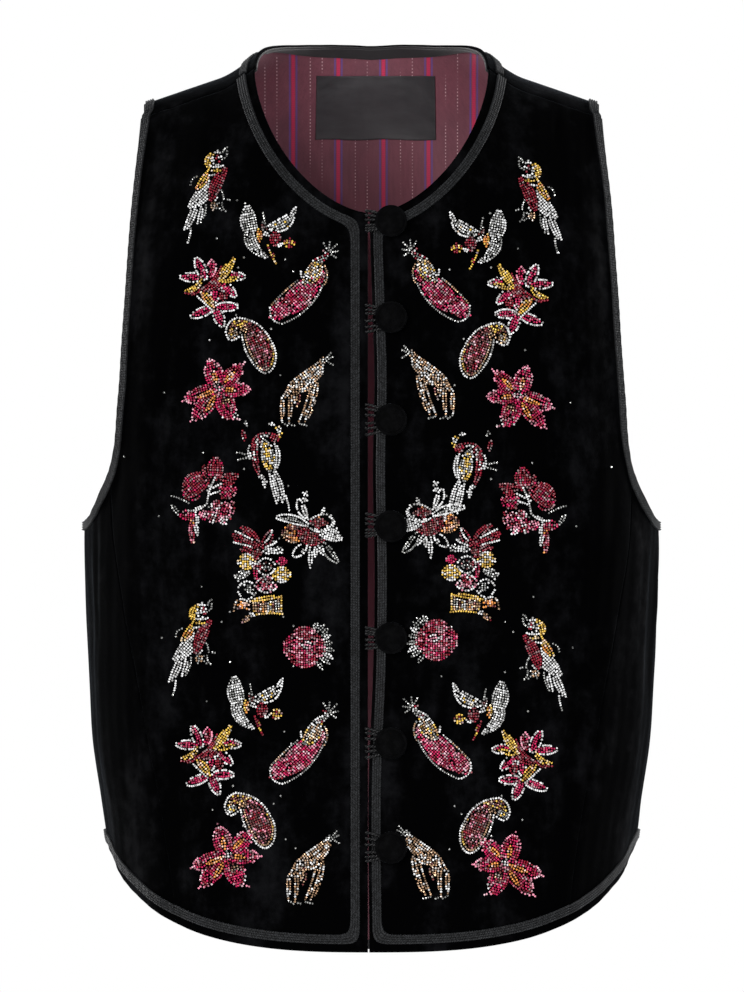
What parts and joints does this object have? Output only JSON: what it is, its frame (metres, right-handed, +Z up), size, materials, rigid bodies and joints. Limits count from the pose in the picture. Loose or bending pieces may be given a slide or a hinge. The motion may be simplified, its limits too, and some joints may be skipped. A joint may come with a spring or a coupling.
{
  "type": "velvet waistcoat in its worn form",
  "caption": "Hollow worn waistcoat: velvet fronts, sides and back, round neck, curved hem, braid edging, covered buttons with cord loops.",
  "frame": {"origin": "midway between the shoulders at the height where shoulder line and neck meet, where the wearer's shoulders carry it", "axes": "+Z up, front faces -Y, +X to the right as seen from the front"},
  "size_m": [0.3762, 0.229, 0.5912],
  "materials": {
    "velvet": "cotton velvet, soft sheen",
    "button_velvet": "velvet stretched over a button mould",
    "facing": "velvet turned inside the neck",
    "lining": "striped twill, slight sheen",
    "satin": "satin",
    "braid": "ribbed gimp braid",
    "cord": "twisted cord"
  },
  "bodies": {
    "root": {"front_left": "velvet", "front_right": "velvet", "side_left": "velvet", "side_right": "velvet", "back": "velvet", "back_lining": "lining", "back_neck_facing": "facing", "label": "satin", "braid_left": "braid", "braid_right": "braid", "braid_back_neck": "braid", "braid_back_hem": "braid", "braid_armhole_left": "braid", "braid_armhole_right": "braid", "button_1": "button_velvet", "loop_1": "cord", "button_2": "button_velvet", "loop_2": "cord", "button_3": "button_velvet", "loop_3": "cord", "button_4": "button_velvet", "loop_4": "cord", "button_5": "button_velvet", "loop_5": "cord", "button_6": "button_velvet", "loop_6": "cord", "button_7": "button_velvet", "loop_7": "cord"}
  },
  "joints": []
}
